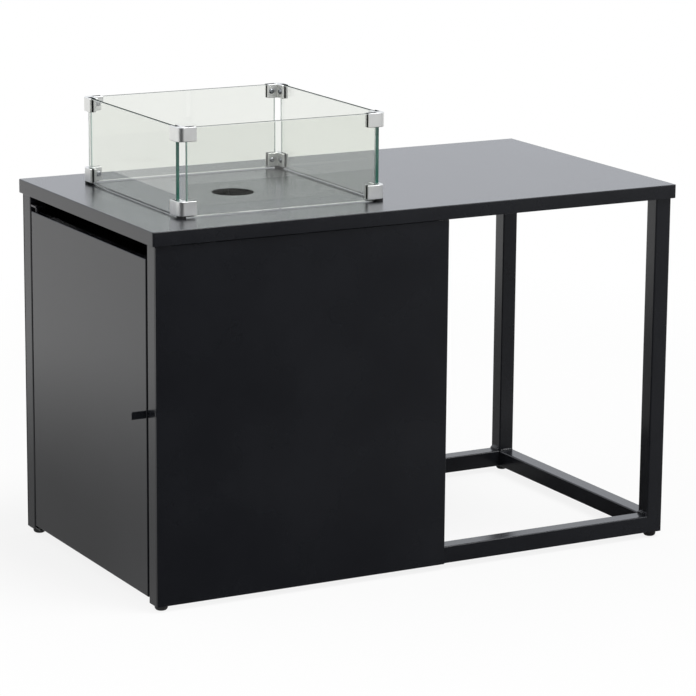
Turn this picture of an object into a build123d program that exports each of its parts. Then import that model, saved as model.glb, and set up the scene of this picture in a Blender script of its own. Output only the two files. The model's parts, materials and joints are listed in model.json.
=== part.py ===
from build123d import *
import os

# Gas fire pit table: a folded top, a bottle cabinet under its left half, an open frame under its right half,
# and a glass guard round a covered burner. Millimetres, +Z up, front towards -Y, door towards -X.
# The origin is on the floor, below the middle of the whole table with its door pull.

# Table top
TOP_LENGTH = 1000.0
TOP_WIDTH = 550.0
TABLE_HEIGHT = 635.0
TOP_SHEET = 2.0
TOP_LIP = 24.0
TOP_OVERHANG = 6.0
TOP_CORNER_RADIUS = 3.0
TOP_EDGE_RADIUS = 1.5
LIP_EDGE_RADIUS = 1.2

# Welded frame
TUBE = 30.0
TUBE_WALL = 2.0
TUBE_RADIUS = 2.5
TOP_RAIL_DEPTH = 20.0
SILL_WIDTH = 10.0

# Feet and their sockets
FOOT_HEIGHT = 10.0
FOOT_RADIUS = 11.0
FOOT_ROUNDING = 5.5
FOOT_GAP = 0.5
STEM_RADIUS = 4.0
STEM_LENGTH = 24.0
SOCKET_LENGTH = 22.0
SOCKET_CLEARANCE = 0.2

# Cabinet
CABINET_LENGTH = 542.0
PANEL_SHEET = 2.0
PANEL_FOLD_RADIUS = 1.8
PANEL_HEAD_GAP = 1.5
PANEL_OVERLAP = 12.0
SIDE_SHEET = 1.5
SHELF_SHEET = 1.5
SHEET_CLEARANCE = 1.0
VENT_LENGTH = 70.0
VENT_WIDTH = 8.0
VENT_PITCH = 30.0
VENT_COUNT = 5

# Door, its pivots and its catch
DOOR_SHEET = 1.5
DOOR_DEPTH = 13.0
DOOR_LIP = 20.0
DOOR_FREE_GAP = 5.0
DOOR_HINGE_GAP = 4.0
DOOR_FOOT_GAP = 8.0
DOOR_HEAD_GAP = 27.0
DOOR_EDGE_RADIUS = 2.0
PULL_REACH = 26.0
PULL_HEIGHT = 12.5
PULL_SHEET = 3.0
PULL_LEVEL = 327.0
PULL_CORNER_RADIUS = 2.0
PULL_SLOT_CLEARANCE = 0.2
PULL_TAIL_CLEARANCE = 0.5
PIN_RADIUS = 3.0
PIN_FROM_FACE = 7.0
PIN_FROM_EDGE = 10.0
PIN_TAIL = 10.0
PIN_PAST_BRACKET = 1.0
PIN_COLLAR_RADIUS = 5.0
PIN_COLLAR = 4.0
BRACKET_SHEET = 3.0
BRACKET_MARGIN = 7.0
BRACKET_SETBACK = 1.0
BRACKET_HEAD_GAP = 8.0
BRACKET_FOOT_GAP = 3.0
THRUST_CLEARANCE = 0.3
CATCH_WIDTH = 17.0
CATCH_DEPTH = 15.0
CATCH_HEIGHT = 40.0
CATCH_DROP = 60.0
CATCH_CLEARANCE = 0.3

# Burner
LID_SIZE = 345.0
LID_SEAM = 2.0
LID_CORNER_RADIUS = 4.0
FINGER_HOLE_RADIUS = 36.0
HOLE_RIM_RADIUS = 0.8
STIFFENER_WIDTH = 20.0
STIFFENER_DEPTH = 8.0
STIFFENER_SHEET = 1.5
STIFFENER_LENGTH = 280.0
STIFFENER_SPACING = 170.0
TRAY_SHEET = 1.5
TRAY_INSIDE = 320.0
TRAY_FLANGE = 400.0
TRAY_DEPTH = 80.0
RING_RADIUS = 90.0
RING_TUBE_RADIUS = 8.0
RING_LIFT = 26.0
SPOKE_RADIUS = 6.0
PORT_COUNT = 24
PORT_RADIUS = 1.25
PORT_DEPTH = 3.0
HUB_RADIUS = 9.0
HUB_COLLAR_RADIUS = 15.0
HUB_COLLAR = 3.0
HUB_TAIL = 18.0
HUB_NUT_FLATS = 27.0
HUB_NUT = 8.0
DRAIN_RADIUS = 4.0
DRAIN_SPACING = 240.0

# Air mixer, gas pipe and valve
MIXER_RADIUS = 12.0
MIXER_LENGTH = 40.0
MIXER_THROAT_RADIUS = 6.0
AIR_HOLE_RADIUS = 4.0
PIPE_RADIUS = 4.0
PIPE_WALL = 1.0
PIPE_DROP = 88.0
PIPE_BEND = 25.0
PIPE_LEAD = 80.0
PIPE_NUT_FLATS = 17.0
PIPE_NUT = 12.0
VALVE_INSET = 89.0
VALVE_FLANGE_RADIUS = 14.0
VALVE_FLANGE = 6.0
VALVE_BLOCK = 32.0
VALVE_BLOCK_LENGTH = 34.0
VALVE_NOSE_RADIUS = 9.0
VALVE_BOSS_RADIUS = 8.0
VALVE_BOSS = 8.0
INLET_FLATS = 17.0
INLET_HEX = 6.0
INLET_RADIUS = 6.58
INLET_LENGTH = 14.0
INLET_BORE_RADIUS = 2.5

# Controls
CONTROL_PLATE_SHEET = 2.0
CONTROL_PLATE_WIDTH = 64.0
CONTROL_PLATE_MARGIN = 36.0
CONTROL_PLATE_CORNER = 6.0
CONTROL_SPACING = 56.0
CONTROL_SCREW_INSET = 8.0
HOLE_CLEARANCE = 0.4
SPINDLE_RADIUS = 4.0
SPINDLE_INSIDE = 20.0
PLUNGER_LENGTH = 8.0
KNOB_RADIUS = 21.0
KNOB_LENGTH = 18.0
KNOB_SKIRT = 4.0
KNOB_GRIP_RADIUS = 17.0
KNOB_GAP = 5.0
KNOB_TRAVEL = 4.0
KNOB_EDGE_RADIUS = 1.5
KNOB_BORE_DEPTH = 12.0
POINTER_WIDTH = 4.0
POINTER_HEIGHT = 3.0
IGNITER_RADIUS = 9.0
IGNITER_LENGTH = 46.0
BEZEL_RADIUS = 13.0
BEZEL = 2.5
IGNITER_NUT_FLATS = 24.0
IGNITER_NUT = 5.0
BUTTON_RADIUS = 6.5
BUTTON_PROUD = 8.0
BUTTON_INSIDE = 10.0
BUTTON_TRAVEL = 6.0
BUTTON_EDGE_RADIUS = 1.0
PROBE_OFFSET = 62.0
PROBE_SPACING = 30.0
PROBE_FLANGE_RADIUS = 7.0
PROBE_FLANGE = 2.0
PROBE_TAIL = 15.0
PROBE_TOP = 22.0
ELECTRODE_RADIUS = 3.5
ELECTRODE_TIP_RADIUS = 1.2
ELECTRODE_TIP = 12.0
THERMOCOUPLE_RADIUS = 3.0

# Glass guard
GUARD_HEIGHT = 150.0
GLASS = 6.0
GLASS_SPAN = 376.0
GLASS_SHORT = 13.0
GLASS_LIFT = 2.0
GLASS_DROP = 1.0
GLASS_ARRIS = 0.8
GASKET = 1.0
CLAMP_HEIGHT = 24.0
CLAMP_OUTER_WALL = 3.0
CLAMP_INNER_WALL = 4.5
CLAMP_LEG = 33.0
CLAMP_CORNER_RADIUS = 11.5
CLAMP_EDGE_RADIUS = 1.0
CLAMP_SCREW_FROM_CORNER = 11.5
PAD_THICKNESS = 4.0
PAD_RADIUS = 8.0
PAD_SETBACK = 1.0

# Fasteners
STUD_RADIUS = 3.0
STUD_CLEARANCE = 0.3
STUD_PAST_NUT = 1.5
STUD_INSET = 80.0
TRAY_STUD_SPACING = 200.0
NUT_FLATS = 10.0
NUT = 4.0
SCREW_RADIUS = 2.5
SCREW_HEAD_RADIUS = 4.5
SCREW_HEAD = 3.0
SCREW_LENGTH = 10.0
SCREW_CLEARANCE = 0.1
SMALL_SCREW_RADIUS = 2.0
SMALL_SCREW_HEAD_RADIUS = 3.6
SMALL_SCREW_HEAD = 2.4
PANEL_SCREW_ROWS = 3
PANEL_SCREW_INSET = 60.0
RAIL_SCREW_SPACING = 300.0
SHELF_SCREW_INSET = 60.0
RUNNING_CLEARANCE = 0.06

# Places worked out from the sizes above
TOP_X = (PULL_REACH - TOP_OVERHANG) / 2
TOP_X0 = TOP_X - TOP_LENGTH / 2
TOP_X1 = TOP_X + TOP_LENGTH / 2
TOP_Y0 = -TOP_WIDTH / 2
TOP_Y1 = TOP_WIDTH / 2
TOP_UNDER = TABLE_HEIGHT - TOP_SHEET
LIP_BOTTOM = TABLE_HEIGHT - TOP_LIP
FRAME_X0 = TOP_X0 + TOP_OVERHANG
FRAME_X1 = TOP_X1 - TOP_OVERHANG
FRAME_Y0 = TOP_Y0 + TOP_OVERHANG
FRAME_Y1 = TOP_Y1 - TOP_OVERHANG
INNER_X0 = FRAME_X0 + TUBE
INNER_X1 = FRAME_X1 - TUBE
INNER_Y0 = FRAME_Y0 + TUBE
INNER_Y1 = FRAME_Y1 - TUBE
RAIL_TOP = FOOT_HEIGHT + TUBE
TOP_RAIL_BOTTOM = TOP_UNDER - TOP_RAIL_DEPTH
CABINET_X1 = FRAME_X0 + CABINET_LENGTH
SIDE_X1 = CABINET_X1 - PANEL_SHEET
SIDE_X0 = SIDE_X1 - SIDE_SHEET
PLATE_X1 = SIDE_X1 + CONTROL_PLATE_SHEET
SHELF_TOP = RAIL_TOP + SHELF_SHEET
DOOR_X1 = FRAME_X0 + DOOR_DEPTH
DOOR_Y0 = INNER_Y0 + DOOR_FREE_GAP
DOOR_Y1 = INNER_Y1 - DOOR_HINGE_GAP
DOOR_Z0 = FOOT_HEIGHT + DOOR_FOOT_GAP
DOOR_Z1 = LIP_BOTTOM - DOOR_HEAD_GAP
PIN_X = FRAME_X0 + PIN_FROM_FACE
PIN_Y = DOOR_Y1 - PIN_FROM_EDGE
BURNER_X = FRAME_X0 + CABINET_LENGTH / 2
FLANGE_UNDER = TOP_UNDER - TRAY_SHEET
FLOOR_TOP = FLANGE_UNDER - TRAY_DEPTH
FLOOR_UNDER = FLOOR_TOP - TRAY_SHEET
MIXER_TOP = FLOOR_UNDER - HUB_NUT - SHEET_CLEARANCE
MIXER_BOTTOM = MIXER_TOP - MIXER_LENGTH
VALVE_Y = INNER_Y0 + VALVE_INSET
VALVE_Z = FLOOR_UNDER - PIPE_DROP
VALVE_X0 = SIDE_X0 - VALVE_FLANGE - VALVE_BLOCK_LENGTH
IGNITER_Z = VALVE_Z + CONTROL_SPACING
GLASS_OUT = GLASS_SPAN / 2
GLASS_IN = GLASS_OUT - GLASS
GLASS_END = GLASS_OUT - GLASS_SHORT
CLAMP_OUT = GLASS_OUT + GASKET + CLAMP_OUTER_WALL
CLAMP_IN = GLASS_IN - GASKET - CLAMP_INNER_WALL
CLAMP_END = CLAMP_OUT - CLAMP_LEG
CLAMP_BOTTOM = TABLE_HEIGHT + PAD_THICKNESS
CLAMP_UPPER = TABLE_HEIGHT + GUARD_HEIGHT - CLAMP_HEIGHT

X_AXIS = (1, 0, 0)
Y_AXIS = (0, 1, 0)
Z_AXIS = (0, 0, 1)
MINUS_X = (-1, 0, 0)
MINUS_Y = (0, -1, 0)
MINUS_Z = (0, 0, -1)


def block(x0, x1, y0, y1, z0, z1):
    """A box between two corners."""
    centre = Pos((x0 + x1) / 2, (y0 + y1) / 2, (z0 + z1) / 2)
    return centre * Box(x1 - x0, y1 - y0, z1 - z0)


def square(centre_x, size, z0, z1):
    """A square block centred on Y = 0."""
    half = size / 2
    return block(centre_x - half, centre_x + half, -half, half, z0, z1)


def rod(start, direction, radius, length):
    """A round rod from a point along a direction."""
    base = Plane(origin=start, z_dir=direction)
    return base * Cylinder(radius, length, align=(Align.CENTER, Align.CENTER, Align.MIN))


def hexagon(start, direction, flats, length):
    """A hexagonal prism from a point along a direction."""
    base = Plane(origin=start, z_dir=direction)
    return base * extrude(RegularPolygon(flats / 2, 6, major_radius=False), length)


def fused(solid):
    """The one solid of a finished boolean."""
    return solid.solid()


def group(solids):
    """Separate solids that share one node."""
    return Compound(children=[fused(solid) for solid in solids])


def tube(x0, x1, y0, y1, z0, z1, along):
    """A rectangular tube with rounded long edges, open at both ends."""
    outer = block(x0, x1, y0, y1, z0, z1)
    outer = fillet(outer.edges().filter_by(along), TUBE_RADIUS)
    walls = {Axis.X: TUBE_WALL, Axis.Y: TUBE_WALL, Axis.Z: TUBE_WALL}
    walls[along] = -TUBE_WALL
    wx = walls[Axis.X]
    wy = walls[Axis.Y]
    wz = walls[Axis.Z]
    return outer - block(x0 + wx, x1 - wx, y0 + wy, y1 - wy, z0 + wz, z1 - wz)


def screw(start, direction, radius, head_radius, head, length):
    """A pan-head screw seated at a point, its shank running against the direction."""
    inward = tuple(-part for part in direction)
    seat_head = rod(start, direction, head_radius, head)
    circles = seat_head.edges().filter_by(GeomType.CIRCLE)
    rim = circles.sort_by(lambda edge: along_value(edge, direction))[-1]
    return fillet(rim, head / 2) + rod(start, inward, radius, length)


def along_value(edge, direction):
    """How far an edge's centre lies along a direction."""
    return edge.center().dot(Vector(*direction))


def corner_signs():
    """The four corners of a rectangle as sign pairs."""
    return [(sx, sy) for sx in (-1, 1) for sy in (-1, 1)]


# Where the fasteners go
def top_stud_places():
    """Stud places on the four outer top rails, two on each."""
    mid = TUBE / 2
    ends_x = (INNER_X0 + STUD_INSET, INNER_X1 - STUD_INSET)
    ends_y = (INNER_Y0 + STUD_INSET, INNER_Y1 - STUD_INSET)
    return {
        "front": [(x, FRAME_Y0 + mid) for x in ends_x],
        "rear": [(x, FRAME_Y1 - mid) for x in ends_x],
        "left": [(FRAME_X0 + mid, y) for y in ends_y],
        "right": [(FRAME_X1 - mid, y) for y in ends_y],
    }


def tray_stud_places():
    """Stud places round the burner tray's flange, two on each side."""
    line = (TRAY_FLANGE + LID_SIZE + 2 * LID_SEAM) / 4
    half = TRAY_STUD_SPACING / 2
    sides = [(sx * line, sy * half) for sx, sy in corner_signs()]
    ends = [(sx * half, sy * line) for sx, sy in corner_signs()]
    return [(BURNER_X + x, y) for x, y in sides + ends]


def panel_screw_places():
    """Screw places on the folded returns of the front and rear panels."""
    y = INNER_Y0 + SHEET_CLEARANCE + PANEL_OVERLAP / 2
    low = RAIL_TOP + PANEL_SCREW_INSET
    high = TOP_RAIL_BOTTOM - PANEL_SCREW_INSET
    step = (high - low) / (PANEL_SCREW_ROWS - 1)
    return [(side * y, low + row * step) for side in (-1, 1) for row in range(PANEL_SCREW_ROWS)]


def rail_screw_places():
    """Screw places where the side panel meets the two cross rails."""
    heights = (FOOT_HEIGHT + TUBE / 2, TOP_UNDER - TOP_RAIL_DEPTH / 2)
    return [(side * RAIL_SCREW_SPACING / 2, z) for side in (-1, 1) for z in heights]


def shelf_screw_places():
    """Screw places where the shelf lies on the front and rear rails."""
    ends = (INNER_X0 + SHELF_SCREW_INSET, SIDE_X0 - TUBE - SHELF_SCREW_INSET)
    return [(x, side * (FRAME_Y1 - TUBE / 2)) for x in ends for side in (-1, 1)]


def control_screw_places():
    """Screw places in the corners of the control plate."""
    y = CONTROL_PLATE_WIDTH / 2 - CONTROL_SCREW_INSET
    z = (CONTROL_SPACING + 2 * CONTROL_PLATE_MARGIN) / 2 - CONTROL_SCREW_INSET
    middle = (VALVE_Z + IGNITER_Z) / 2
    return [(VALVE_Y + sy * y, middle + sz * z) for sy, sz in corner_signs()]


# Frame
def posts():
    """The four corner posts, from the feet to the underside of the top sheet."""
    spans_x = {"left": (FRAME_X0, INNER_X0), "right": (INNER_X1, FRAME_X1)}
    spans_y = {"front": (FRAME_Y0, INNER_Y0), "rear": (INNER_Y1, FRAME_Y1)}
    made = {}
    for end, (y0, y1) in spans_y.items():
        for side, (x0, x1) in spans_x.items():
            made[f"post_{end}_{side}"] = tube(x0, x1, y0, y1, FOOT_HEIGHT, TOP_UNDER, Axis.Z)
    return made


def rails():
    """The bottom rails, the sill behind the door, the top rails and the two cross rails."""
    low = (FOOT_HEIGHT, RAIL_TOP)
    high = (TOP_RAIL_BOTTOM, TOP_UNDER)
    front = (INNER_X0, INNER_X1, FRAME_Y0, INNER_Y0)
    rear = (INNER_X0, INNER_X1, INNER_Y1, FRAME_Y1)
    left = (FRAME_X0, INNER_X0, INNER_Y0, INNER_Y1)
    right = (INNER_X1, FRAME_X1, INNER_Y0, INNER_Y1)
    cross = (SIDE_X0 - TUBE, SIDE_X0, INNER_Y0, INNER_Y1)
    sill = (INNER_X0 - SILL_WIDTH, INNER_X0, INNER_Y0, INNER_Y1)
    made = {
        "rail_bottom_front": tube(*front, *low, Axis.X),
        "rail_bottom_rear": tube(*rear, *low, Axis.X),
        "rail_bottom_right": tube(*right, *low, Axis.Y),
        "sill_left": tube(*sill, *low, Axis.Y),
        "rail_bottom_cross": tube(*cross, *low, Axis.Y),
        "rail_top_front": tube(*front, *high, Axis.X),
        "rail_top_rear": tube(*rear, *high, Axis.X),
        "rail_top_left": tube(*left, *high, Axis.Y),
        "rail_top_right": tube(*right, *high, Axis.Y),
        "rail_top_cross": tube(*cross, *high, Axis.Y),
    }
    hole = STUD_RADIUS + STUD_CLEARANCE
    for side, places in top_stud_places().items():
        for x, y in places:
            made[f"rail_top_{side}"] -= rod((x, y, TOP_RAIL_BOTTOM), Z_AXIS, hole, TOP_RAIL_DEPTH)
    wall_hole = SCREW_RADIUS + SCREW_CLEARANCE
    for y, z in rail_screw_places():
        rail = "rail_bottom_cross" if z < RAIL_TOP else "rail_top_cross"
        made[rail] -= rod((SIDE_X0, y, z), MINUS_X, wall_hole, SCREW_LENGTH)
    for x, y in shelf_screw_places():
        rail = "rail_bottom_front" if y < 0 else "rail_bottom_rear"
        made[rail] -= rod((x, y, RAIL_TOP), MINUS_Z, wall_hole, SCREW_LENGTH)
    return made


def foot_places():
    """Names and places of the four feet, under the middle of each post."""
    mid = TUBE / 2
    sides = {"left": FRAME_X0 + mid, "right": FRAME_X1 - mid}
    ends = {"front": FRAME_Y0 + mid, "rear": FRAME_Y1 - mid}
    return {f"{end}_{side}": (x, y) for end, y in ends.items() for side, x in sides.items()}


def feet():
    """Domed screw-in feet, each with its threaded stem moulded in."""
    pad_height = FOOT_HEIGHT - FOOT_GAP
    made = {}
    for place, (x, y) in foot_places().items():
        pad = rod((x, y, 0), Z_AXIS, FOOT_RADIUS, pad_height)
        pad = fillet(pad.edges().filter_by(GeomType.CIRCLE).sort_by(Axis.Z)[0], FOOT_ROUNDING)
        made[f"foot_{place}"] = pad + rod((x, y, pad_height), Z_AXIS, STEM_RADIUS, STEM_LENGTH)
    return made


def foot_sockets():
    """Threaded plugs pressed into the lower ends of the posts."""
    half = TUBE / 2 - TUBE_WALL - SOCKET_CLEARANCE
    plugs = []
    for x, y in foot_places().values():
        plug = block(x - half, x + half, y - half, y + half, FOOT_HEIGHT, FOOT_HEIGHT + SOCKET_LENGTH)
        bore = rod((x, y, FOOT_HEIGHT), Z_AXIS, STEM_RADIUS + RUNNING_CLEARANCE, SOCKET_LENGTH)
        plugs.append(plug - bore)
    return group(plugs)


# Top
def table_top():
    """The folded top: a sheet with a lip all round and a square cut-out for the burner lid."""
    top = block(TOP_X0, TOP_X1, TOP_Y0, TOP_Y1, LIP_BOTTOM, TABLE_HEIGHT)
    top = fillet(top.edges().filter_by(Axis.Z), TOP_CORNER_RADIUS)
    top = fillet(top.faces().sort_by(Axis.Z)[-1].edges(), TOP_EDGE_RADIUS)
    top = fillet(top.faces().sort_by(Axis.Z)[0].edges(), LIP_EDGE_RADIUS)
    inside = (TOP_X0 + TOP_SHEET, TOP_X1 - TOP_SHEET, TOP_Y0 + TOP_SHEET, TOP_Y1 - TOP_SHEET)
    top -= block(*inside, LIP_BOTTOM - TOP_SHEET, TOP_UNDER)
    opening = square(BURNER_X, LID_SIZE + 2 * LID_SEAM, TOP_UNDER - TOP_SHEET, TABLE_HEIGHT + TOP_SHEET)
    opening = fillet(opening.edges().filter_by(Axis.Z), LID_CORNER_RADIUS + LID_SEAM)
    return top - opening


def weld_studs():
    """Studs under the top sheet, long through the top rails and short through the tray's flange."""
    past = NUT + STUD_PAST_NUT
    studs = []
    for places in top_stud_places().values():
        for x, y in places:
            studs.append(rod((x, y, TOP_UNDER), MINUS_Z, STUD_RADIUS, TOP_RAIL_DEPTH + past))
    for x, y in tray_stud_places():
        studs.append(rod((x, y, TOP_UNDER), MINUS_Z, STUD_RADIUS, TRAY_SHEET + past))
    return group(studs)


def flange_nuts():
    """Hexagon nuts on the studs, below the rails and below the tray's flange."""
    places = [(x, y, TOP_RAIL_BOTTOM) for side in top_stud_places().values() for x, y in side]
    places += [(x, y, FLANGE_UNDER) for x, y in tray_stud_places()]
    bore = STUD_RADIUS + RUNNING_CLEARANCE
    nuts = []
    for place in places:
        nuts.append(hexagon(place, MINUS_Z, NUT_FLATS, NUT) - rod(place, MINUS_Z, bore, NUT))
    return group(nuts)


# Cabinet
def wall_panel(side):
    """A front (-1) or rear (+1) panel laid over the frame, with a return folded along its right edge."""
    face = FRAME_Y1 + PANEL_SHEET
    back = FRAME_Y1
    tip = INNER_Y1 - SHEET_CLEARANCE - PANEL_OVERLAP
    panel = block(FRAME_X0, CABINET_X1, back, face, FOOT_HEIGHT, LIP_BOTTOM - PANEL_HEAD_GAP)
    low = RAIL_TOP + SHEET_CLEARANCE
    high = TOP_RAIL_BOTTOM - SHEET_CLEARANCE
    high = min(high, LIP_BOTTOM - PANEL_HEAD_GAP)
    panel += block(SIDE_X1, CABINET_X1, tip, back, low, high)
    fold = panel.edges().filter_by(Axis.Z).filter_by_position(Axis.X, CABINET_X1, CABINET_X1)
    panel = fillet(fold.sort_by(Axis.Y)[-1], PANEL_FOLD_RADIUS)
    hole = SCREW_RADIUS + SCREW_CLEARANCE
    for y, z in panel_screw_places():
        if y > 0:
            panel -= rod((SIDE_X1, y, z), X_AXIS, hole, PANEL_SHEET)
    return panel if side > 0 else mirror(panel, Plane.XZ)


def side_panel():
    """The cabinet's inner wall towards the open bay, with holes for the controls."""
    y0 = INNER_Y0 + SHEET_CLEARANCE
    z0 = FOOT_HEIGHT + SHEET_CLEARANCE
    panel = block(SIDE_X0, SIDE_X1, y0, -y0, z0, TOP_UNDER - SHEET_CLEARANCE)
    hole = SCREW_RADIUS + SCREW_CLEARANCE
    for y, z in panel_screw_places() + rail_screw_places():
        panel -= rod((SIDE_X0, y, z), X_AXIS, hole, SIDE_SHEET)
    small = SMALL_SCREW_RADIUS + SCREW_CLEARANCE
    for y, z in control_screw_places():
        panel -= rod((SIDE_X0, y, z), X_AXIS, small, SIDE_SHEET)
    panel -= rod((SIDE_X0, VALVE_Y, VALVE_Z), X_AXIS, VALVE_NOSE_RADIUS + HOLE_CLEARANCE, SIDE_SHEET)
    panel -= rod((SIDE_X0, VALVE_Y, IGNITER_Z), X_AXIS, IGNITER_RADIUS + HOLE_CLEARANCE, SIDE_SHEET)
    return panel


def shelf():
    """The shelf that the gas bottle stands on, notched round the left posts and slotted for air."""
    x0 = INNER_X0 - SILL_WIDTH + SHEET_CLEARANCE
    x1 = SIDE_X0 - SHEET_CLEARANCE
    y0 = FRAME_Y0 + SHEET_CLEARANCE
    plate = block(x0, x1, y0, -y0, RAIL_TOP, SHELF_TOP)
    notch_x = INNER_X0 + SHEET_CLEARANCE
    notch_y = INNER_Y0 + SHEET_CLEARANCE
    plate -= block(x0, notch_x, y0, notch_y, RAIL_TOP, SHELF_TOP)
    plate -= block(x0, notch_x, -notch_y, -y0, RAIL_TOP, SHELF_TOP)
    for x, y in shelf_screw_places():
        plate -= rod((x, y, RAIL_TOP), Z_AXIS, SCREW_RADIUS + SCREW_CLEARANCE, SHELF_SHEET)
    slot = extrude(SlotOverall(VENT_LENGTH, VENT_WIDTH), SHELF_SHEET)
    for index in range(VENT_COUNT):
        offset = (index - (VENT_COUNT - 1) / 2) * VENT_PITCH
        plate -= Pos(BURNER_X, offset, RAIL_TOP) * slot
    return plate


def panel_screws():
    """Pan-head screws that hold the panels, the side panel and the shelf."""
    sizes = (SCREW_RADIUS, SCREW_HEAD_RADIUS, SCREW_HEAD, SCREW_LENGTH)
    screws = [screw((CABINET_X1, y, z), X_AXIS, *sizes) for y, z in panel_screw_places()]
    screws += [screw((SIDE_X1, y, z), X_AXIS, *sizes) for y, z in rail_screw_places()]
    screws += [screw((x, y, SHELF_TOP), Z_AXIS, *sizes) for x, y in shelf_screw_places()]
    return group(screws)


# Door
def door():
    """The end door: a folded pan with a lip at its free edge for the magnet, and a slot for the pull."""
    pan = block(FRAME_X0, DOOR_X1, DOOR_Y0, DOOR_Y1, DOOR_Z0, DOOR_Z1)
    pan = fillet(pan.faces().sort_by(Axis.X)[0].edges(), DOOR_EDGE_RADIUS)
    y0 = DOOR_Y0 + DOOR_SHEET
    z0 = DOOR_Z0 + DOOR_SHEET
    z1 = DOOR_Z1 - DOOR_SHEET
    pan -= block(FRAME_X0 + DOOR_SHEET, DOOR_X1, y0, DOOR_Y1 - DOOR_SHEET, z0, z1)
    pan += block(DOOR_X1 - DOOR_SHEET, DOOR_X1, y0, DOOR_Y0 + DOOR_LIP, z0, z1)
    slot_half = PULL_HEIGHT / 2 + PULL_SLOT_CLEARANCE
    slot_y1 = y0 + PULL_SHEET + PULL_SLOT_CLEARANCE
    skin = FRAME_X0 + DOOR_SHEET
    pan -= block(FRAME_X0, skin, y0, slot_y1, PULL_LEVEL - slot_half, PULL_LEVEL + slot_half)
    hole = PIN_RADIUS + RUNNING_CLEARANCE
    return pan - rod((PIN_X, PIN_Y, DOOR_Z0), Z_AXIS, hole, DOOR_Z1 - DOOR_Z0)


def door_pull():
    """The flat pull tab, passed through the door's skin and welded inside its free edge."""
    half = PULL_HEIGHT / 2
    y0 = DOOR_Y0 + DOOR_SHEET
    x1 = DOOR_X1 - DOOR_SHEET - PULL_TAIL_CLEARANCE
    tab = block(FRAME_X0 - PULL_REACH, x1, y0, y0 + PULL_SHEET, PULL_LEVEL - half, PULL_LEVEL + half)
    return fillet(tab.edges().filter_by(Axis.Y).sort_by(Axis.X)[:2], PULL_CORNER_RADIUS)


def pivot_pins():
    """The door's two pivot pins, each with a collar inside the pan; the lower has a thrust collar too."""
    top_start = (PIN_X, PIN_Y, DOOR_Z1 - DOOR_SHEET - PIN_TAIL)
    top_length = PIN_TAIL + DOOR_SHEET + BRACKET_HEAD_GAP + BRACKET_SHEET + PIN_PAST_BRACKET
    upper = rod(top_start, Z_AXIS, PIN_RADIUS, top_length)
    upper += rod((PIN_X, PIN_Y, DOOR_Z1 - DOOR_SHEET), MINUS_Z, PIN_COLLAR_RADIUS, PIN_COLLAR)
    low_start = (PIN_X, PIN_Y, DOOR_Z0 + DOOR_SHEET + PIN_TAIL)
    low_length = PIN_TAIL + DOOR_SHEET + BRACKET_FOOT_GAP + BRACKET_SHEET + PIN_PAST_BRACKET
    lower = rod(low_start, MINUS_Z, PIN_RADIUS, low_length)
    lower += rod((PIN_X, PIN_Y, DOOR_Z0 + DOOR_SHEET), Z_AXIS, PIN_COLLAR_RADIUS, PIN_COLLAR)
    thrust = BRACKET_FOOT_GAP - THRUST_CLEARANCE
    lower += rod((PIN_X, PIN_Y, DOOR_Z0), MINUS_Z, PIN_COLLAR_RADIUS, thrust)
    return group([upper, lower])


def hinge_brackets():
    """Two plates welded to the rear left post, over and under the door, bored for the pivot pins."""
    x0 = FRAME_X0 + BRACKET_SETBACK
    x1 = PIN_X + BRACKET_MARGIN
    y0 = PIN_Y - BRACKET_MARGIN
    plates = []
    for z0 in (DOOR_Z1 + BRACKET_HEAD_GAP, DOOR_Z0 - BRACKET_FOOT_GAP - BRACKET_SHEET):
        plate = block(x0, x1, y0, INNER_Y1, z0, z0 + BRACKET_SHEET)
        bore = rod((PIN_X, PIN_Y, z0), Z_AXIS, PIN_RADIUS + RUNNING_CLEARANCE, BRACKET_SHEET)
        plates.append(plate - bore)
    return group(plates)


def magnet_catch():
    """The magnetic catch on the front left post, just behind the door's lip."""
    x0 = DOOR_X1 + CATCH_CLEARANCE
    z1 = DOOR_Z1 - CATCH_DROP
    return block(x0, x0 + CATCH_DEPTH, INNER_Y0, INNER_Y0 + CATCH_WIDTH, z1 - CATCH_HEIGHT, z1)


# Burner
def burner_lid():
    """The flat lid, flush with the top, with a round finger hole whose upper rim is eased."""
    lid = square(BURNER_X, LID_SIZE, TOP_UNDER, TABLE_HEIGHT)
    lid = fillet(lid.edges().filter_by(Axis.Z), LID_CORNER_RADIUS)
    lid -= rod((BURNER_X, 0, TOP_UNDER), Z_AXIS, FINGER_HOLE_RADIUS, TOP_SHEET)
    rims = lid.edges().filter_by(GeomType.CIRCLE).sort_by(SortBy.RADIUS)[-2:]
    return fillet(rims.sort_by(Axis.Z)[-1], HOLE_RIM_RADIUS)


def lid_stiffeners():
    """Two channels welded under the lid, one on each side of the finger hole."""
    half = STIFFENER_LENGTH / 2
    bars = []
    for side in (-1, 1):
        x0 = BURNER_X + side * STIFFENER_SPACING / 2 - STIFFENER_WIDTH / 2
        x1 = x0 + STIFFENER_WIDTH
        bar = block(x0, x1, -half, half, TOP_UNDER - STIFFENER_DEPTH, TOP_UNDER)
        floor = TOP_UNDER - STIFFENER_DEPTH + STIFFENER_SHEET
        trough = block(x0 + STIFFENER_SHEET, x1 - STIFFENER_SHEET, -half, half, floor, TOP_UNDER)
        bars.append(bar - trough)
    return group(bars)


def probe_places():
    """Places of the spark electrode and the thermocouple beside the ring burner."""
    x = BURNER_X + PROBE_OFFSET
    return (x, -PROBE_SPACING / 2), (x, PROBE_SPACING / 2)


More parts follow.
